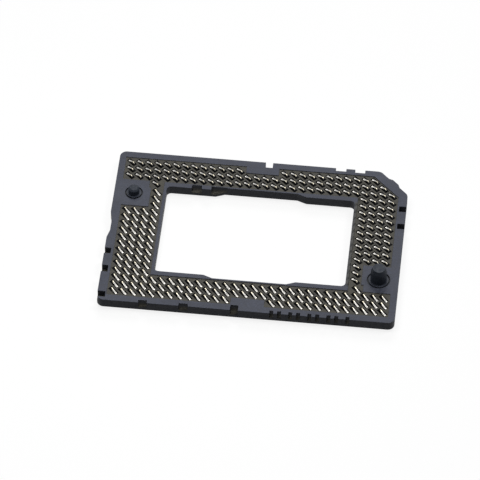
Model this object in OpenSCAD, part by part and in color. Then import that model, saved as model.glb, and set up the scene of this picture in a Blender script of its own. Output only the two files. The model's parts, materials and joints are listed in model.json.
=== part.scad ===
// Open-frame land-grid socket: a moulded frame with a window, two locating posts and a field of
// diagonal spring contacts in two opposed L-shaped halves, each contact on its own solder ball.
// Millimetres. X runs along the long side, Y from front to back, Z up. The origin is on the board
// plane, where the solder balls stand, under the middle of the frame.

/* [Contact grid] */
// Distance between neighbouring contacts, both ways
pitch = 1; // [0.95:0.05:1.3]
// Columns of the full grid, left to right
cols = 30; // [26:1:34]
// Rows of the full grid, front to back
rows = 20; // [17:1:21]
// Columns of contacts down each side of the window
side_cols = 4; // [4:1:5]
// Rows of contacts along the front and along the back
end_rows = 3; // [2:1:4]
// Columns that each post pad takes from the side field
pad_cols = 3; // [2:1:3]
// Rows that each post pad takes from the side field
pad_rows = 4; // [3:1:5]
// Contacts left out in the middle of the outermost row, front and back
blank_cols = 4; // [2:1:8]

/* [Frame] */
// Thickness of the frame
frame_t = 1.1; // [1:0.05:1.8]
// From the outermost column of contacts to the end of the frame
border_x = 1.55; // [1.4:0.05:3]
// From the outermost row of contacts to the front and back of the frame
border_y = 1.65; // [1.4:0.05:3]
// Radius of the frame's outer corners
corner_r = 0.75; // [0.2:0.05:1]
// Length of each leg of the clipped back-right corner
corner_clip = 3.2; // [2:0.1:4]
// Plain land left beside the clipped corner
clip_land = 1.05; // [0.8:0.05:1.5]
// Width of the small tab in the middle of the clipped corner
clip_tab_w = 0.9; // [0.5:0.05:1.5]
// How far that tab stands out
clip_tab_h = 0.22; // [0.1:0.01:0.4]
// Radius of that tab's corners
clip_tab_r = 0.15; // [0:0.01:0.2]
// Depth of the shallow relief in the left end
end_relief_d = 0.25; // [0.1:0.05:0.5]
// Length of that relief
end_relief_l = 3.8; // [2:0.1:6]
// Length of the slope at each end of the reliefs in the frame's edges
relief_slope = 1; // [0.5:0.1:1.5]
// Depth of the step down from the rim to the contact field
field_step = 0.08; // [0.04:0.01:0.2]
// Land between a slot and the edge of that step
field_land = 0.09; // [0.05:0.01:0.2]

/* [Window] */
// From the innermost line of contacts to the window
window_margin = 1.15; // [1.1:0.05:1.8]
// Extra width of the window in the middle of its front and back
window_relief_d = 0.4; // [0.2:0.02:0.44]
// Length of that wider stretch
window_relief_l = 8; // [4:0.5:12]
// Radius of the window's corners
window_r = 0.5; // [0.2:0.05:1]

/* [Edge notches and pockets] */
// Notches through the back edge: [distance from the right end, width, depth]
back_notches = [[15.55, 0.8, 0.75], [7.6, 1.15, 0.4], [5.48, 1.1, 0.45]];
// Depth of the blind pockets, down from the top
pocket_d = 0.75; // [0.3:0.05:0.85]
// Pockets in the front edge: [distance from the left end, width, depth inwards]
front_pockets = [[4.98, 0.93, 0.4], [9.37, 1, 0.4], [14.85, 0.86, 0.76]];
// Pockets in the left end: [distance from the front, width, depth inwards]
left_pockets = [[0.85, 0.8, 0.88], [4.58, 0.95, 0.72], [7.23, 0.8, 0.72]];
// Pockets in the right end: [distance from the front, width, depth inwards]
right_pockets = [[14.27, 0.76, 0.8], [16.87, 0.8, 0.8]];
// Pockets in the window's back wall: [distance from the window's left end, width, depth inwards]
window_pockets = [[3.27, 1.1, 0.5], [5.74, 1.75, 0.5]];
// Width of each small slot in the front edge
vent_w = 0.42; // [0.3:0.02:0.6]
// Depth inwards of each small slot
vent_d = 0.4; // [0.2:0.05:0.6]
// Distance between the two slots of a pair
vent_gap = 0.84; // [0.7:0.02:1]
// Distance from one pair to the next
vent_pitch = 2.05; // [1.9:0.05:2.4]
// Distance from the right end to the last slot
vent_inset = 5.03; // [3:0.1:7]
// Number of slots in the row
vent_count = 9; // [2:1:10]

/* [Locating posts] */
// Distance of each post from the end of the frame
post_inset = 2.18; // [2.05:0.05:2.6]
// Radius of the front-right post
big_post_r = 0.88; // [0.6:0.02:1.1]
// Height of the front-right post over the frame
big_post_h = 1.85; // [1:0.05:3]
// Height of its tapered end
big_post_lead = 0.6; // [0.2:0.05:0.8]
// Radius of the back-left post
small_post_r = 0.6; // [0.4:0.02:0.8]
// Height of the back-left post over the frame
small_post_h = 0.78; // [0.6:0.02:2]
// Height of its tapered end
small_post_lead = 0.16; // [0.05:0.01:0.3]
// How much each post narrows over its tapered end
post_taper = 0.2; // [0.05:0.01:0.3]
// Distance from a post's wall to the ring groove round it
ring_gap = 0.22; // [0.1:0.01:0.3]
// Width of the ring groove
ring_w = 0.14; // [0.08:0.01:0.2]
// Depth of the ring groove
ring_d = 0.15; // [0.05:0.01:0.4]

/* [Contact slots] */
// Width of a slot
slot_w = 0.5; // [0.4:0.02:0.52]
// From the grid point to the slot's end behind the stem
slot_back = 0.78; // [0.72:0.02:0.84]
// From the grid point to the slot's end in front of the tip
slot_front = 0.42; // [0.36:0.02:0.46]
// Thickness of the floor that the contact's foot stands on
ledge_t = 0.1; // [0.06:0.01:0.2]

/* [Contacts] */
// Thickness of the strip
strip_t = 0.08; // [0.05:0.01:0.1]
// Gap between the strip's edges and the slot's sides
side_gap = 0.02; // [0.01:0.01:0.05]
// Height of the wide part of the stem, which the slot holds
wing_h = 0.4; // [0.2:0.02:0.5]
// Width of the stem over that part, of the shoulder and of the spring arm's root
arm_root_w = 0.21; // [0.2:0.01:0.3]
// Width of the spring arm at its tip
arm_tip_w = 0.1; // [0.08:0.01:0.2]
// Length of the flat shoulder from the stem to the arm
shoulder_l = 0.2; // [0.18:0.01:0.3]
// From the grid point to the arm's knuckle, along the slot
knuckle_x = 0.1; // [0:0.01:0.12]
// How far the arm's knuckle stands over the rim
knuckle_rise = 0.12; // [0.1:0.01:0.3]
// How far the shoulder lies under the rim
shoulder_drop = 0.17; // [0.14:0.01:0.3]
// Length of the tip past the knuckle, along the slot
tip_l = 0.1; // [0.08:0.01:0.14]
// Drop of the tip past the knuckle
tip_drop = 0.12; // [0.1:0.01:0.2]
// Radius of each bend, at the middle of the strip
bend_r = 0.1; // [0.07:0.01:0.12]
// Length of the foot past the grid point
foot_l = 0.2; // [0.18:0.01:0.26]

/* [Solder balls] */
// Diameter of a solder ball
ball_d = 0.56; // [0.5:0.01:0.6]
// How far the balls stand out under the frame
stand_off = 0.4; // [0.36:0.01:0.42]
// Gap round a ball in its pocket under the frame
ball_gap = 0.05; // [0.02:0.01:0.08]

/* [Hidden] */
$fn = 48;
arc_step = 11.25;
bend_step = 25;
cut = 1;
root_half = sqrt(0.5);

frame_hw = (cols - 1) / 2 * pitch + border_x;
frame_hd = (rows - 1) / 2 * pitch + border_y;
top_z = stand_off + frame_t;
field_z = top_z - field_step;
ledge_z = stand_off + ledge_t;

window_hw = (cols - 1) / 2 * pitch - (side_cols - 1) * pitch - window_margin;
window_hd = (rows - 1) / 2 * pitch - (end_rows - 1) * pitch - window_margin;

pad_row = rows - end_rows - pad_rows;
blank_col = ceil((cols - blank_cols) / 2);
post_x = frame_hw - post_inset;
post_y = grid_y(pad_row + (pad_rows - 1) / 2);

strip_w = slot_w - 2 * side_gap;
reach_back = (slot_back + slot_w / 2) * root_half + field_land;
reach_front = (slot_front + slot_w / 2) * root_half + field_land;
clip_line = frame_hw + frame_hd - corner_clip;
clip_reach = (clip_land + field_land + slot_w / 2) / root_half;

ball_r = ball_d / 2;
pocket_r = ball_r + ball_gap;

a_rows = [for (r = [0:rows - 1]) if (len(a_row(r)) > 0) r];
b_rows = [for (r = [0:rows - 1]) if (len(b_row(r)) > 0) r];
A_NAMES = [for (r = a_rows) a_name(r)];
B_NAMES = [for (r = b_rows) b_name(r)];
BALL_NAMES = [for (r = [0:rows - 1]) ball_name(r)];

// Names of the row nodes, counted from the front
function two_digits(n) = str(n < 10 ? "0" : "", n);
function a_name(r) = str("front_left_contacts_row_", two_digits(r + 1));
function b_name(r) = str("back_right_contacts_row_", two_digits(r + 1));
function ball_name(r) = str("solder_balls_row_", two_digits(r + 1));

// Place of a column or row of the grid, which is centred on the frame
function grid_x(c) = (c - (cols - 1) / 2) * pitch;
function grid_y(r) = (r - (rows - 1) / 2) * pitch;

// Front-left half: the front rows, the left columns up to the post pad, the inner columns beside
// the pad, and the first contact beside the front-right pad
function in_front(c, r) = r < end_rows && !(r == 0 && c >= blank_col && c < blank_col + blank_cols);
function in_left(c, r) = c < side_cols && r < pad_row;
function beside_back_pad(c, r) = c >= pad_cols && c < side_cols && r < rows - end_rows - 1;
function beside_front_pad(c, r) = c >= cols - side_cols && c < cols - pad_cols && r == end_rows;
function in_a(c, r) = in_front(c, r) || in_left(c, r) || beside_back_pad(c, r) || beside_front_pad(c, r);

// Back-right half: the same turned half a turn, less what the clipped corner takes
function clear_of_clip(c, r) = grid_x(c) + grid_y(r) <= clip_line - clip_reach;
function in_b(c, r) = in_a(cols - 1 - c, rows - 1 - r) && clear_of_clip(c, r);

// Columns that hold a contact in a given row
function a_row(r) = [for (c = [0:cols - 1]) if (in_a(c, r)) c];
function b_row(r) = [for (c = [0:cols - 1]) if (in_b(c, r)) c];

// A corner of an outline, rounded: [point, radius] becomes an arc from one tangent point to the
// other, in straight steps that each turn by about the given angle
function unit(v) = v / norm(v);
function left_of(v) = [-v[1], v[0]];
function turned(v, a) = [v[0] * cos(a) - v[1] * sin(a), v[0] * sin(a) + v[1] * cos(a)];
function rounded_corner(a, b, c, r, step) =
    let (
        d1 = unit(b - a),
        d2 = unit(c - b),
        side = d1[0] * d2[1] - d1[1] * d2[0] > 0 ? 1 : -1,
        sweep = acos(max(-1, min(1, d1 * d2))),
        steps = max(1, round(sweep / step)),
        centre = b - d1 * r * tan(sweep / 2) + left_of(d1) * side * r
    )
    [for (i = [0:steps]) centre - left_of(turned(d1, side * sweep * i / steps)) * side * r];
function rounded(corners, step = arc_step) =
    let (n = len(corners))
    [for (i = [0:n - 1])
        let (p = corners[i])
        for (q = p[1] > 0
                ? rounded_corner(corners[(i + n - 1) % n][0], p[0], corners[(i + 1) % n][0], p[1], step)
                : [p[0]])
            q];

// Frame's outline, anticlockwise from the front-left corner
module frame_outline() {
    w = frame_hw;
    d = frame_hd;
    tab = clip_tab_w / 2 * root_half;
    out = clip_tab_h * root_half;
    clip_mid = [w - corner_clip / 2, d - corner_clip / 2];
    relief = end_relief_l / 2;
    polygon(rounded([
        [[-w, -d], corner_r],
        [[w, -d], corner_r],
        [[w, d - corner_clip], corner_r],
        [clip_mid + [2 * tab, -2 * tab], 0],
        [clip_mid + [tab + out, out - tab], clip_tab_r],
        [clip_mid + [out - tab, tab + out], clip_tab_r],
        [clip_mid + [-2 * tab, 2 * tab], 0],
        [[w - corner_clip, d], corner_r],
        [[-w, d], corner_r],
        [[-w, relief], 0],
        [[-w + end_relief_d, relief - relief_slope], 0],
        [[-w + end_relief_d, relief_slope - relief], 0],
        [[-w, -relief], 0]
    ]));
}

// Window, with a wider stretch in the middle of its front and back
module window_outline() {
    w = window_hw;
    d = window_hd;
    wide = window_relief_l / 2;
    deep = d + window_relief_d;
    polygon(rounded([
        [[-w, -d], window_r], [[-wide - relief_slope, -d], 0], [[-wide, -deep], 0],
        [[wide, -deep], 0], [[wide + relief_slope, -d], 0], [[w, -d], window_r],
        [[w, d], window_r], [[wide + relief_slope, d], 0], [[wide, deep], 0],
        [[-wide, deep], 0], [[-wide - relief_slope, d], 0], [[-w, d], window_r]
    ]));
}

module back_notch_plan() {
    for (n = back_notches)
        translate([frame_hw - n[0] - n[1] / 2, frame_hd - n[2]]) square([n[1], n[2] + cut]);
}

// Plan of the whole frame, before the slots
module frame_plan() {
    difference() {
        frame_outline();
        window_outline();
        back_notch_plan();
    }
}

// Puts children on every contact of a half that lies in the given row, along its slot
module on_a_row(r) {
    for (c = a_row(r)) translate([grid_x(c), grid_y(r)]) rotate(135) children();
}
module on_b_row(r) {
    for (c = b_row(r)) translate([grid_x(c), grid_y(r)]) rotate(-45) children();
}
module on_every_contact() {
    for (r = a_rows) on_a_row(r) children();
    for (r = b_rows) on_b_row(r) children();
}

// Plan of one slot: the stem stands at its back end, the tip comes out near its front end
module slot_plan() {
    translate([-slot_back, -slot_w / 2]) square([slot_back + slot_front, slot_w]);
}

// A block of the sunken field round columns c0 to c1 and rows r0 to r1 of the front-left half
module field_block(c0, c1, r0, r1) {
    low = [grid_x(c0) - reach_front, grid_y(r0) - reach_back];
    high = [grid_x(c1) + reach_back, grid_y(r1) + reach_front];
    translate(low) square(high - low);
}
module half_field() {
    field_block(0, cols - 1, 1, end_rows - 1);
    field_block(0, blank_col - 1, 0, 1);
    field_block(blank_col + blank_cols, cols - 1, 0, 1);
    field_block(0, side_cols - 1, 1, pad_row - 1);
    field_block(pad_cols, side_cols - 1, 1, rows - end_rows - 1);
    field_block(cols - side_cols, cols - pad_cols - 1, 1, end_rows);
}
module field_plan() {
    difference() {
        union() {
            half_field();
            rotate(180) half_field();
        }
        translate([clip_line / 2, clip_line / 2] - clip_land * [root_half, root_half])
            rotate(45) translate([0, -corner_clip * 2]) square(corner_clip * 4);
    }
}

// Post with a straight wall and a tapered lead-in
module post(r, h, lead) {
    cylinder(r = r, h = h - lead);
    translate([0, 0, h - lead]) cylinder(r1 = r, r2 = r - post_taper, h = lead);
}
module ring_groove(r) {
    rotate_extrude() translate([r + ring_gap, -ring_d]) square([ring_w, ring_d + cut]);
}
module at_big_post() {
    translate([post_x, -post_y, top_z]) children();
}
module at_small_post() {
    translate([-post_x, post_y, top_z]) children();
}

// Blind pockets in the edges, open at the top and at the edge
module edge_pocket(x, y, w, d) {
    translate([x, y, top_z - pocket_d]) cube([w, d, pocket_d + cut]);
}
module edge_pockets() {
    for (p = front_pockets)
        edge_pocket(-frame_hw + p[0] - p[1] / 2, -frame_hd - cut, p[1], p[2] + cut);
    for (p = left_pockets)
        edge_pocket(-frame_hw - cut, -frame_hd + p[0] - p[1] / 2, p[2] + cut, p[1]);
    for (p = right_pockets)
        edge_pocket(frame_hw - p[2], -frame_hd + p[0] - p[1] / 2, p[2] + cut, p[1]);
    for (p = window_pockets)
        edge_pocket(-window_hw + p[0] - p[1] / 2, window_hd - cut, p[1], p[2] + cut);
    for (i = [0:vent_count - 1])
        edge_pocket(
            frame_hw - vent_inset - vent_w / 2 - floor((i + 1) / 2) * vent_pitch + (i % 2) * vent_gap,
            -frame_hd - cut, vent_w, vent_d + cut
        );
}

module housing() {
    color("#3b3e47")
    difference() {
        union() {
            translate([0, 0, stand_off]) linear_extrude(ledge_t) difference() {
                frame_plan();
                on_every_contact() circle(r = pocket_r);
            }
            translate([0, 0, ledge_z]) linear_extrude(field_z - ledge_z) difference() {
                frame_plan();
                on_every_contact() slot_plan();
            }
            translate([0, 0, field_z]) linear_extrude(field_step) difference() {
                frame_plan();
                field_plan();
            }
            at_big_post() post(big_post_r, big_post_h, big_post_lead);
            at_small_post() post(small_post_r, small_post_h, small_post_lead);
        }
        at_big_post() ring_groove(big_post_r);
        at_small_post() ring_groove(small_post_r);
        edge_pockets();
    }
}

// Middle line of a contact's strip, corner by corner, along the slot and up: foot, stem, shoulder,
// arm and tip
stem_x = -slot_back + strip_t / 2;
arm_x = stem_x + shoulder_l;
tip_x = knuckle_x + tip_l;
foot_z = ledge_z + strip_t / 2;
strip_line = [
    [foot_l, foot_z],
    [stem_x, foot_z],
    [stem_x, top_z - shoulder_drop],
    [arm_x, top_z - shoulder_drop],
    [knuckle_x, top_z + knuckle_rise],
    [tip_x, top_z + knuckle_rise - tip_drop]
];

// Direction of a straight stretch of the strip, and the corner between two of them on one side of
// the strip, at distance d to the left of the middle line, with the radius that keeps the bend about
// the same centre: wider by d where the line turns right, and narrower by d where it turns left
function run(i) = unit(strip_line[i + 1] - strip_line[i]);
function side_corner(i, d) =
    let (
        last = len(strip_line) - 1,
        d1 = run(max(i - 1, 0)),
        d2 = run(min(i, last - 1)),
        n1 = left_of(d1),
        n2 = left_of(d2),
        left_turn = d1 * n2 < 0 ? 1 : -1
    )
    [strip_line[i] + (n1 + n2) * d / (1 + n1 * n2), i == 0 || i == last ? 0 : bend_r - left_turn * d];

// Side view of the strip
module strip_side() {
    last = len(strip_line) - 1;
    polygon(rounded(concat(
        [for (i = [0:last]) side_corner(i, strip_t / 2)],
        [for (i = [last:-1:0]) side_corner(i, -strip_t / 2)]
    ), bend_step));
}

// Stamped spring contact: the strip, narrowed over the stem's wide part and tapered along the arm
module contact() {
    behind = -slot_back - cut;
    ahead = slot_front + cut;
    difference() {
        rotate([90, 0, 0]) linear_extrude(strip_w, center = true) strip_side();
        for (side = [0, 1]) mirror([0, side, 0]) translate([0, 0, ledge_z + wing_h]) linear_extrude(top_z)
            polygon([
                [behind, arm_root_w / 2], [arm_x, arm_root_w / 2], [tip_x, arm_tip_w / 2],
                [ahead, arm_tip_w / 2], [ahead, strip_w], [behind, strip_w]
            ]);
    }
}
module a_contacts(r) {
    color("#e8dfc8") on_a_row(r) contact();
}
module b_contacts(r) {
    color("#e8dfc8") on_b_row(r) contact();
}

// Solder balls of a row, each flattened where it meets its contact's foot
module solder_balls(r) {
    color("#b9bcc0") {
        on_a_row(r) solder_ball();
        on_b_row(r) solder_ball();
    }
}
module solder_ball() {
    intersection() {
        translate([0, 0, ball_r]) sphere(r = ball_r);
        translate([-ball_r, -ball_r, 0]) cube([ball_d, ball_d, ledge_z]);
    }
}

housing();
for (r = a_rows) a_contacts(r);
for (r = b_rows) b_contacts(r);
for (r = [0:rows - 1]) solder_balls(r);
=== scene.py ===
import json
import math

import bmesh
import bpy
import numpy as np
from mathutils import Matrix, Vector


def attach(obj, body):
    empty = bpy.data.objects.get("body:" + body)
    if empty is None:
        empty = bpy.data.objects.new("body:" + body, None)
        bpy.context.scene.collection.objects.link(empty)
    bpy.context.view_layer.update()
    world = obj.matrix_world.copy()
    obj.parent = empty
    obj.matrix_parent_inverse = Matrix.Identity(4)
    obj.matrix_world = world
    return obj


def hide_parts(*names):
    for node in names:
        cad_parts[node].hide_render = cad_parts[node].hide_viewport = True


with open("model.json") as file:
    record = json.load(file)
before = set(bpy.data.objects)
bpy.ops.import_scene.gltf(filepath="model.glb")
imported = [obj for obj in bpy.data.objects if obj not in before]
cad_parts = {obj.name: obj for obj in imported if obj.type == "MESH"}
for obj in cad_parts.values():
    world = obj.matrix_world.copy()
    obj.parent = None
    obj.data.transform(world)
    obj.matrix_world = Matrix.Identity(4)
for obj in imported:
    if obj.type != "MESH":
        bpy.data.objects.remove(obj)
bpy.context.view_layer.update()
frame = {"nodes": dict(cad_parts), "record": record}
mm = 0.001


class Signal:
    # wraps an output socket, so that an expression on it adds its Math nodes
    def __init__(self, shader, socket):
        self.shader = shader
        self.socket = socket

    def math(self, operation, *others):
        return self.shader.math(operation, self, *others)

    def __add__(self, other):
        return self.math("ADD", other)

    def __sub__(self, other):
        return self.math("SUBTRACT", other)

    def __mul__(self, other):
        return self.math("MULTIPLY", other)

    def __truediv__(self, other):
        return self.math("DIVIDE", other)

    def __rsub__(self, other):
        return self.shader.math("SUBTRACT", other, self)

    def __rtruediv__(self, other):
        return self.shader.math("DIVIDE", other, self)

    __radd__ = __add__
    __rmul__ = __mul__

    def size(self):
        return self.math("ABSOLUTE")

    def between(self, low, high):
        # 0 below low, 1 above high, straight in between
        return ((self - low) / (high - low)).math("MAXIMUM", 0.0).math("MINIMUM", 1.0)


class Shader:
    # the node tree of a material or a world, and the shader in it whose sockets are set
    def __init__(self, owner, surface="Principled BSDF"):
        owner.use_nodes = True
        self.owner = owner
        self.tree = owner.node_tree
        self.surface = self.tree.nodes[surface]

    def node(self, kind, settings=None, sockets=None, out=0):
        # settings are set first, then each socket gets its value or its link; out picks the output
        made = self.tree.nodes.new(kind)
        for key, value in (settings or {}).items():
            setattr(made, key, value)
        for key, value in (sockets or {}).items():
            self.feed(made.inputs[key], value)
        return Signal(self, made.outputs[out])

    def feed(self, socket, value):
        if isinstance(value, Signal):
            self.tree.links.new(value.socket, socket)
        else:
            socket.default_value = value

    def set(self, **values):
        # Base_Color=... sets or links the Base Color socket
        for key, value in values.items():
            self.feed(self.surface.inputs[key.replace("_", " ")], value)

    def math(self, operation, *values):
        return self.node("ShaderNodeMath", {"operation": operation}, dict(enumerate(values)))

    def place(self):
        return self.node("ShaderNodeTexCoord", out="Object")

    def along(self, axis):
        # place along x, y or z, which are 0, 1 and 2
        return self.node("ShaderNodeSeparateXYZ", None, {0: self.place()}, out=axis)

    def faceUp(self):
        # 1 on a face that lies flat and looks up, 0 on an upright one
        normal = self.node("ShaderNodeTexCoord", out="Normal")
        return self.node("ShaderNodeSeparateXYZ", None, {0: normal}, out="Z")

    def noise(self, size, detail, rough, stretch=(1, 1, 1)):
        # mottling of about the given size in metres, from 0 to 1
        place = self.node("ShaderNodeMapping", None, {"Vector": self.place(), "Scale": stretch})
        sockets = {"Vector": place, "Scale": 1 / size, "Detail": detail, "Roughness": rough}
        return self.node("ShaderNodeTexNoise", None, sockets)

    def blend(self, factor, low, high):
        # colour between low and high, which are sockets 6 and 7 of a Mix node
        return self.node("ShaderNodeMix", {"data_type": "RGBA"}, {0: factor, 6: low, 7: high}, out=2)

    def bump(self, height, depth):
        return self.node("ShaderNodeBump", None, {"Height": height, "Distance": depth})


def newFinish(name):
    return Shader(bpy.data.materials.new(name))


plastic = {
    # mottled colour of the rim's top faces: the plastic's own flecks, made lighter by a painted sheen
    "shade": (0.024, 0.027, 0.040, 1),
    "pale": (0.071, 0.077, 0.101, 1),
    "sunkShade": (0.028, 0.026, 0.021, 1),  # painted shade: darker, browner land between and under the contacts, mottled by the flecks
    "sunkShadePale": (0.068, 0.064, 0.051, 1),
    "wall": (0.034, 0.036, 0.043, 1),  # painted shade on upright faces below the rim
    # darker colour of the posts, also painted as shade inside their ring grooves
    "post": (0.022, 0.027, 0.037, 1),
    "groove": (0.008, 0.009, 0.011, 1),  # painted shadow, near black, in the ring groove round a post
    "ring": (0.37 * mm, 0.42 * mm),  # distances from a post's side where the painted shade round it ends
    "ringShare": 0.6,  # share of the posts' colour painted as shade at rim height within those distances
    "edgeLandShade": (0.058, 0.057, 0.054, 1),  # painted shade on the land at the window's right edge, between the painted slot shadows
    # painted slot shadows: dark slanting marks on that land
    "slotShadow": (0.017, 0.017, 0.016, 1),
    "slotShadowPitch": 1.0 * mm,
    "shadedEdgeMiddle": 10.85 * mm,
    "shadedEdgeWidth": (0.4 * mm, 0.5 * mm),  # distances from its middle where it starts to fade and ends
    "shadedEdgeLength": (6.08 * mm, 6.4 * mm),
    "slotShadowSpread": (-0.1, 0.9),  # part of the wave over which the shade changes
    "landTilt": (0.3, 0.7),  # how far up a face looks where the upright faces' painted shade turns into the land's
    "rim": (1.43 * mm, 1.49 * mm),  # heights where the recessed field's painted shade turns into the rim's colour
    "overRim": (1.55 * mm, 1.7 * mm),  # heights where the rim's shade turns into the posts'
    "roughness": 0.5,
    "gloss": 0.14,
    "grain": {"size": 0.03 * mm, "detail": 2.0, "rough": 0.6},
    "grainDepth": 0.0012 * mm,
    "fleck": {"size": 0.34 * mm, "detail": 3.0, "rough": 0.65},
    "fleckSpread": (0.38, 0.62),
    "flow": {"size": 5 * mm, "detail": 3.0, "rough": 0.55, "stretch": (1, 1.6, 3)},
    "flowSpread": (0.3, 0.7),
    "flowShare": 0.35,  # the rest of the mottling is flecks
    "dulling": 0.16,  # how much rougher a pale fleck is than a dark one
}


def shadeRoundPosts(s):
    # 1 within the ring groove of a post, from the nearer post's side outwards, where shade is painted
    gaps = []
    for mount in frame["record"]["mounts"]:
        if mount["kind"] == "pin":
            x, y = s.along(0) - mount["pos_m"][0], s.along(1) - mount["pos_m"][1]
            gaps.append((x * x + y * y).math("SQRT") - mount["dims"]["r_mm"] * mm)
    return 1 - gaps[0].math("MINIMUM", gaps[1]).between(*plastic["ring"])


def paintedEdgeShade(s):
    # where the land at the window's right edge is, and its colour: painted shade with slanting painted slot
    # shadows, one to a row of contacts
    x, y = s.along(0), s.along(1)
    beside = (x - plastic["shadedEdgeMiddle"]).size().between(*plastic["shadedEdgeWidth"])
    beyond = y.size().between(*plastic["shadedEdgeLength"])
    wave = ((y - x) * (math.tau / plastic["slotShadowPitch"])).math("SINE")
    edgeShade = s.blend(wave.between(*plastic["slotShadowSpread"]), plastic["edgeLandShade"], plastic["slotShadow"])
    return (1 - beside) * (1 - beyond), edgeShade


def mouldedPlastic():
    # dark filled plastic: fine sparked grain, flecks of filler and long faint flow lines, with a painted
    # sheen on the rim;
    # painted shade that is browner in the sunk field, darker on upright faces and at the window's right
    # edge, and near black in the grooves round the darker posts
    s = newFinish("moulded plastic")
    flow = s.noise(**plastic["flow"]).between(*plastic["flowSpread"])
    fleck = s.noise(**plastic["fleck"]).between(*plastic["fleckSpread"])
    grain = s.noise(**plastic["grain"])
    height = s.along(2)
    mottling = flow * plastic["flowShare"] + fleck * (1 - plastic["flowShare"])
    rim = s.blend(mottling, plastic["shade"], plastic["pale"])
    # painted shade and slot shadows at the window's right edge
    shadedEdge, edgeShade = paintedEdgeShade(s)
    rim = s.blend(shadedEdge, rim, edgeShade)
    postShade = shadeRoundPosts(s)
    # painted shade on the land inside a post's ring groove
    rim = s.blend(postShade * plastic["ringShare"], rim, plastic["post"])
    upper = s.blend(height.between(*plastic["overRim"]), rim, plastic["post"])
    # painted shade on the recessed land between the contacts
    landShade = s.blend(fleck, plastic["sunkShade"], plastic["sunkShadePale"])
    # upright faces below the rim get painted shade, lying ones the land's
    lower = s.blend(s.faceUp().between(*plastic["landTilt"]), plastic["wall"], landShade)
    # painted shadow in the ring groove round a post
    lower = s.blend(postShade, lower, plastic["groove"])
    s.set(
        Base_Color=s.blend(height.between(*plastic["rim"]), lower, upper),
        Roughness=plastic["roughness"] + (fleck - 0.5) * plastic["dulling"],
        Specular_IOR_Level=plastic["gloss"],
        Normal=s.bump(grain, plastic["grainDepth"]),
    )
    return s.owner


gold = {
    "nickel": (0.37, 0.357, 0.33, 1),
    "bright": (0.47, 0.43, 0.335, 1),
    "dull": (0.34, 0.305, 0.23, 1),
    "plated": (1.52 * mm, 1.6 * mm),  # heights where the pale arm turns into the gold knuckle
    "roughness": 0.30,
    "patch": {"size": 0.5 * mm, "detail": 2.0, "rough": 0.5},
    "patchSpread": (0.35, 0.7),
    "dulling": 0.12,
    "line": {"size": 0.02 * mm, "detail": 1.0, "rough": 0.5, "stretch": (1, 1, 0.2)},
    "lineDepth": 0.0006 * mm,
}


def goldPlate():
    # pale plate that turns gold on the knuckle and tip: a little uneven, with fine rolling lines
    s = newFinish("gold plate")
    patch = s.noise(**gold["patch"])
    lines = s.noise(**gold["line"])
    tip = s.blend(patch.between(*gold["patchSpread"]), gold["bright"], gold["dull"])
    s.set(
        Base_Color=s.blend(s.along(2).between(*gold["plated"]), gold["nickel"], tip),
        Metallic=1.0,
        Roughness=gold["roughness"] + (patch - 0.5) * gold["dulling"],
        Normal=s.bump(lines, gold["lineDepth"]),
    )
    return s.owner


tin = {
    "bright": (0.74, 0.75, 0.77, 1),
    "dull": (0.50, 0.51, 0.53, 1),
    "roughness": 0.3,
    "patch": {"size": 0.16 * mm, "detail": 3.0, "rough": 0.6},
    "patchSpread": (0.4, 0.65),
    "patchDepth": 0.004 * mm,
    "dulling": 0.3,
}


def solderTin():
    # reflowed tin alloy: bright skin with duller frozen patches
    s = newFinish("solder tin")
    patch = s.noise(**tin["patch"])
    s.set(
        Base_Color=s.blend(patch.between(*tin["patchSpread"]), tin["bright"], tin["dull"]),
        Metallic=1.0,
        Roughness=tin["roughness"] + (patch - 0.5) * tin["dulling"],
        Normal=s.bump(patch, tin["patchDepth"]),
    )
    return s.owner


def newPiece(name, points, faces, material):
    mesh = bpy.data.meshes.new(name)
    mesh.from_pydata(points, [], faces)
    mesh.materials.append(material)
    return wearPiece(name, mesh)


def wearPiece(name, mesh):
    # the mesh as a piece of the part, hung under the part's root
    piece = bpy.data.objects.new(name, mesh)
    bpy.context.scene.collection.objects.link(piece)
    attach(piece, "root")
    return piece


def smoothBelow(mesh, angle):
    # smooth shading, with an edge kept sharp where its faces turn by more than the angle in degrees
    mesh.polygons.foreach_set("use_smooth", np.ones(len(mesh.polygons), dtype=bool))
    mesh.set_sharp_from_angle(angle=math.radians(angle))


housing = {
    "weld": 0.0002 * mm,  # corners this close become one
    "flat": 0.4,  # degrees between triangles that belong to one flat
    "sharp": 15,  # degrees, above the turn of a step in a round corner
    "crisp": 25,  # degrees, above which an outer edge gets its fine radius
    "edge": 0.025 * mm,
    "edgeSteps": 2,
    "ballSide": 0.52 * mm,  # the rings round the balls lie below this height
    "shortRing": 0.12 * mm,  # their edges are shorter than this, and stay sharp
}


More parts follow.
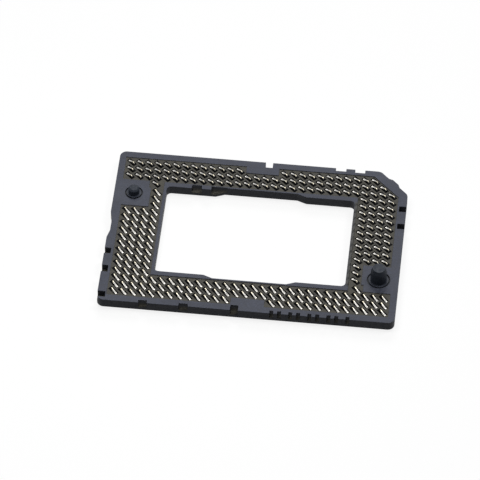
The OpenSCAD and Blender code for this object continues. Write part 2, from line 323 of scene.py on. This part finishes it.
def softenedHousing(material):
    # the CAD housing with its triangles merged into flats and a fine radius on its outer edges
    mesh = frame["nodes"]["housing"].data.copy()
    mesh.name = "softened housing"
    work = bmesh.new()
    work.from_mesh(mesh)
    bmesh.ops.remove_doubles(work, verts=work.verts, dist=housing["weld"])
    bmesh.ops.dissolve_limit(
        work, angle_limit=math.radians(housing["flat"]), verts=work.verts, edges=work.edges
    )
    radius = work.edges.layers.float.new("bevel_weight_edge")
    for edge in work.edges:
        low = max(v.co.z for v in edge.verts) < housing["ballSide"]
        onRing = low and edge.calc_length() < housing["shortRing"]
        outer = edge.calc_face_angle_signed(0.0) > math.radians(housing["crisp"])
        edge[radius] = float(outer and not onRing)
    work.to_mesh(mesh)
    work.free()
    mesh.materials.clear()
    mesh.materials.append(material)
    smoothBelow(mesh, housing["sharp"])
    piece = wearPiece("softened_housing", mesh)
    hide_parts("housing")
    bevel = piece.modifiers.new("fine radius", "BEVEL")
    bevel.limit_method = "WEIGHT"
    bevel.width = housing["edge"]
    bevel.segments = housing["edgeSteps"]
    bevel.use_clamp_overlap = False
    bevel.harden_normals = True
    piece.modifiers.new("closed corners", "WELD").merge_threshold = housing["weld"]


def pointsOf(name):
    # every point of a CAD node, as rows of x, y and z
    mesh = frame["nodes"][name].data
    points = np.empty(len(mesh.vertices) * 3)
    mesh.vertices.foreach_get("co", points)
    return points.reshape(-1, 3)


ball = {
    "radius": 0.28 * mm,
    "top": 0.5 * mm,  # height where the ball is cut flat under its contact
    "around": 10,
    "down": 6,
    "near": 0.0004 * mm,  # a point this low touches the board
    "sharp": 50,  # degrees
}


def gridPoints(name):
    # a ball touches the board at its point of the grid
    points = pointsOf(name)
    low = points[points[:, 2] < ball["near"], :2]
    return np.unique(np.round(low / mm, 2), axis=0) * mm


def ballShape():
    # rings of a sphere that stands on the board, from the flat where its top is cut down to its pole
    r = ball["radius"]
    cutAngle = math.acos((ball["top"] - r) / r)
    down = np.linspace(cutAngle, math.pi, ball["down"] + 1)[:-1]
    around = np.arange(ball["around"]) * math.tau / ball["around"]
    d, a = np.meshgrid(down, around, indexing="ij")
    rings = np.stack((r * np.sin(d) * np.cos(a), r * np.sin(d) * np.sin(a), r + r * np.cos(d)), axis=-1)
    points = np.vstack((rings.reshape(-1, 3), (0, 0, 0)))
    n = ball["around"]
    ring, step = np.meshgrid(np.arange(ball["down"] - 1), np.arange(n), indexing="ij")
    here = (ring * n + step).ravel()
    beside = (ring * n + (step + 1) % n).ravel()
    walls = np.stack((here, here + n, beside + n, beside), axis=1)
    last = (ball["down"] - 1) * n + np.arange(n)
    foot = np.stack((last, np.full(n, len(points) - 1), np.roll(last, -1)), axis=1)
    return points, (np.arange(n)[None], walls, foot)


def repeated(points, faces, places, turns):
    # the shape once at each place, turned about its own upright axis by each turn in radians;
    # its faces come as arrays, one for each number of corners
    c, s = np.cos(turns)[:, None], np.sin(turns)[:, None]
    x, y, z = points[..., 0], points[..., 1], points[..., 2]
    along = c * x - s * y + places[:, :1]
    beside = s * x + c * y + places[:, 1:]
    spots = np.stack((along, beside, np.broadcast_to(z, along.shape)), axis=-1)
    first = np.arange(len(places))[:, None, None] * points.shape[-2]
    copies = [(group + first).reshape(-1, group.shape[1]).tolist() for group in faces]
    return spots.reshape(-1, 3), sum(copies, [])


def solderBalls(rows, material):
    places = np.vstack([gridPoints(row) for row in rows])
    points, faces = ballShape()
    points, faces = repeated(points[None], faces, places, np.zeros(len(places)))
    piece = newPiece("solder_balls", points, faces, material)
    smoothBelow(piece.data, ball["sharp"])
    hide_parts(*rows)
    return places


contact = {
    "thick": 0.08 * mm,
    "crown": 0.014 * mm,  # how far the strip's outer face drops towards its edges
    "wingWidth": 0.46 * mm,
    "wingTop": 0.9 * mm,
    "wingSlope": 0.05 * mm,  # height over which the wide stem narrows to the arm's width
    "rootWidth": 0.21 * mm,
    "tipWidth": 0.1 * mm,
    # middle line in its upright plane, along the slot and up
    "footEnd": (0.2 * mm, 0.54 * mm),
    "heel": (-0.74 * mm, 0.54 * mm),
    "shoulder": (-0.74 * mm, 1.33 * mm),
    "armStart": (-0.54 * mm, 1.33 * mm),
    "knuckle": (0.1 * mm, 1.62 * mm),
    "tip": (0.2 * mm, 1.5 * mm),
    "bend": 0.1 * mm,
    "bendSteps": 3,
    "near": 0.000001 * mm,  # allowed rounding of a point's place
    "lift": 0.9,  # degrees that the arms' slopes differ by
    "twist": 1.2,  # degrees that the contacts differ by in their slots
    "seed": 7,
    "sharp": 50,  # degrees
    "halfA": 135,  # degrees that each half's contacts are turned to
    "halfB": -45,
}


def arcAt(a, b, c):
    # bend at b: an arc between the points where the runs a-b and b-c touch a circle of the bend's radius
    a, b, c = np.array(a), np.array(b), np.array(c)
    d1 = (b - a) / np.linalg.norm(b - a)
    d2 = (c - b) / np.linalg.norm(c - b)
    sweep = math.acos(float(d1 @ d2))
    inward = np.array((d1[1], -d1[0]))
    centre = b - d1 * contact["bend"] * math.tan(sweep / 2) + inward * contact["bend"]
    turn = np.linspace(0, sweep, contact["bendSteps"] + 1)[:, None]
    return centre - contact["bend"] * (inward * np.cos(turn) - d1 * np.sin(turn))


def contactLine():
    # points of the strip's middle line, and its width at each
    k = contact
    wing = np.array([(k["heel"][0], k["wingTop"] - k["wingSlope"]), (k["heel"][0], k["wingTop"])])
    over = arcAt(k["heel"], k["shoulder"], k["armStart"])
    top = arcAt(k["armStart"], k["knuckle"], k["tip"])
    line = np.vstack((k["footEnd"], k["heel"], wing, over, k["armStart"], top, k["tip"]))
    along = (line[:, 0] - k["armStart"][0]) / (k["tip"][0] - k["armStart"][0])
    width = k["rootWidth"] + (k["tipWidth"] - k["rootWidth"]) * np.clip(along, 0, 1)
    width[:3] = k["wingWidth"]
    return line, width


def liftedLines(line, lift):
    # the middle line once for every contact, with its arm turned by that contact's lift about the arm's root
    root = np.array(contact["armStart"])
    onArm = (line >= root - contact["near"]).all(axis=1)
    c, s = np.cos(lift)[:, None], np.sin(lift)[:, None]
    u, w = (line - root).T
    x = np.where(onArm, root[0] + c * u - s * w, line[:, 0])
    z = np.where(onArm, root[1] + s * u + c * w, line[:, 1])
    return np.stack((x, z), axis=-1)


def contactShape(lift):
    # the strip's section, four corners and a crown, set square to each contact's line at each of its points,
    # on the bisector of the two runs that meet there
    line, width = contactLine()
    path = liftedLines(line, lift)
    run = np.diff(path, axis=1)
    run /= np.linalg.norm(run, axis=-1, keepdims=True)
    outward = np.stack((-run[..., 1], run[..., 0]), axis=-1)
    before = np.concatenate((outward[:, :1], outward), axis=1)
    after = np.concatenate((outward, outward[:, -1:]), axis=1)
    out = (before + after) / (1 + (before * after).sum(axis=-1, keepdims=True))
    half = contact["thick"] / 2
    across = np.array((-0.5, 0.5, 0.5, 0, -0.5))
    level = np.array((-half, -half, half - contact["crown"], half, half - contact["crown"]))
    spots = path[:, :, None, :] + out[:, :, None, :] * level[:, None]
    y = np.broadcast_to(width[:, None] * across, spots.shape[:3])
    points = np.stack((spots[..., 0], y, spots[..., 1]), axis=-1).reshape(len(lift), -1, 3)
    n = len(across)
    station, corner = np.meshgrid(np.arange(len(line) - 1), np.arange(n), indexing="ij")
    here = (station * n + corner).ravel()
    beside = (station * n + (corner + 1) % n).ravel()
    walls = np.stack((here, beside, beside + n, here + n), axis=1)
    ends = np.stack((np.arange(n)[::-1], (len(line) - 1) * n + np.arange(n)))
    return points, (walls, ends)


def springContacts(name, rows, degrees, balls, material):
    # a contact stands over every ball that lies under one of the rows' CAD knuckles
    top = np.vstack([pointsOf(row) for row in rows])
    top = top[top[:, 2] > contact["knuckle"][1], :2]
    gaps = np.linalg.norm(balls[:, None] - top[None], axis=-1).min(axis=1)
    places = balls[gaps < contact["rootWidth"]]
    chance = np.random.default_rng(contact["seed"])
    lift = np.radians(chance.normal(0, contact["lift"] / 2, len(places)))
    turns = np.radians(degrees + chance.normal(0, contact["twist"] / 2, len(places)))
    points, faces = contactShape(lift)
    points, faces = repeated(points, faces, places, turns)
    piece = newPiece(name, points, faces, material)
    smoothBelow(piece.data, contact["sharp"])
    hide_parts(*rows)
    print(name, len(places))


studio = {
    "floorSize": 1.2,  # metres
    "floorGrey": 0.15,
    "floorRoughness": 0.9,
    "floorLift": 0.86,  # added where the floor is seen
    "sky": (0.95, 0.97, 1.0, 1),
    "skyLight": 0.05,
    "skySeen": 1.0,
}


def raysThatSee(s):
    # 1 where the camera, a reflection or a view through something meets the surface
    kinds = ("Is Camera Ray", "Is Glossy Ray", "Is Transmission Ray")
    camera, glossy, through = (s.node("ShaderNodeLightPath", out=kind) for kind in kinds)
    return (camera + glossy + through).math("MINIMUM", 1.0)


def whiteFloor():
    # lit grey floor that is lifted to white where it is seen, and keeps the part's shadow
    s = newFinish("pale floor")
    grey = studio["floorGrey"]
    s.set(Base_Color=(grey, grey, grey, 1), Roughness=studio["floorRoughness"], Specular_IOR_Level=0.0)
    s.set(Emission_Color=(1, 1, 1, 1), Emission_Strength=raysThatSee(s) * studio["floorLift"])
    half = studio["floorSize"] / 2
    mesh = bpy.data.meshes.new("floor")
    corners = [(-half, -half, 0), (half, -half, 0), (half, half, 0), (-half, half, 0)]
    mesh.from_pydata(corners, [], [(0, 1, 2, 3)])
    mesh.materials.append(s.owner)
    floor = bpy.data.objects.new("floor", mesh)
    bpy.context.scene.collection.objects.link(floor)


def paleSky():
    # white where it is seen, and soft grey for the light that it gives
    world = bpy.data.worlds.new("pale sky")
    bpy.context.scene.world = world
    s = Shader(world, "Background")
    strength = raysThatSee(s) * (studio["skySeen"] - studio["skyLight"]) + studio["skyLight"]
    s.set(Color=studio["sky"], Strength=strength)


# azimuth is turned from the back towards the right and elevation is up, in degrees; the rest is in metres
lamps = {
    "back key": {"azimuth": -5, "elevation": 47, "distance": 0.5, "size": 0.24, "level": 0.42},
    "right overhead": {"azimuth": 66, "elevation": 61, "distance": 0.5, "size": 0.17, "level": 0.32},
    "near overhead": {"azimuth": -127, "elevation": 75, "distance": 0.11, "size": 0.05, "level": 0.38},
}


def softLamp(name, azimuth, elevation, distance, size, level):
    # a disk turned to the part's middle; level is the share of full white that it gives a face turned to it
    a, e = math.radians(azimuth), math.radians(elevation)
    toLamp = Vector((math.sin(a) * math.cos(e), math.cos(a) * math.cos(e), math.sin(e)))
    data = bpy.data.lights.new(name, "AREA")
    data.shape = "DISK"
    data.size = size
    data.energy = level * math.pi ** 2 * distance ** 2
    lamp = bpy.data.objects.new(name, data)
    turn = toLamp.to_track_quat("Z", "Y").to_matrix().to_4x4()
    lamp.matrix_world = Matrix.Translation(toLamp * distance) @ turn
    bpy.context.scene.collection.objects.link(lamp)


view = {
    "aim": (-1.575 * mm, -0.83 * mm, 1.5 * mm),
    "azimuth": 5.19,  # degrees, from the front towards the right
    "elevation": 47.0,
    "roll": 0.855,
    "distance": 482.1 * mm,
    "lens": 332.6,
    "sensor": 36,
    "clip": (0.01, 10),
}


def placeCamera():
    # looks at the aim point from the front, a little to the right, and down
    a, e = math.radians(view["azimuth"]), math.radians(view["elevation"])
    forward = Vector((-math.sin(a) * math.cos(e), math.cos(a) * math.cos(e), -math.sin(e)))
    right = forward.cross(Vector((0, 0, 1))).normalized()
    right = Matrix.Rotation(-math.radians(view["roll"]), 3, forward) @ right
    up = right.cross(forward)
    place = Vector(view["aim"]) - forward * view["distance"]
    axes = Matrix((right, up, -forward)).transposed().to_4x4()
    data = bpy.data.cameras.new("camera")
    data.lens = view["lens"]
    data.sensor_width = view["sensor"]
    data.clip_start, data.clip_end = view["clip"]
    camera = bpy.data.objects.new("camera", data)
    camera.matrix_world = Matrix.Translation(place) @ axes
    bpy.context.scene.collection.objects.link(camera)
    bpy.context.scene.camera = camera


def rowsNamed(start):
    return [name for name in frame["nodes"] if name.startswith(start)]


print("stage: finishes")
plasticFinish = mouldedPlastic()
goldFinish = goldPlate()
tinFinish = solderTin()
finishes = {"contacts": goldFinish, "balls": tinFinish, "housing": plasticFinish}
for name, node in frame["nodes"].items():
    node.data.materials.clear()
    node.data.materials.append(next(finish for word, finish in finishes.items() if word in name))

print("stage: housing")
softenedHousing(plasticFinish)

print("stage: solder balls")
balls = solderBalls(rowsNamed("solder_balls"), tinFinish)

print("stage: contacts")
springContacts("front_left_contacts", rowsNamed("front_left_contacts"), contact["halfA"], balls, goldFinish)
springContacts("back_right_contacts", rowsNamed("back_right_contacts"), contact["halfB"], balls, goldFinish)

print("stage: floor, light and camera")
whiteFloor()
paleSky()
for name, lamp in lamps.items():
    softLamp(name, **lamp)
placeCamera()
bpy.context.scene.view_settings.view_transform = "Standard"

print("stage: finish")
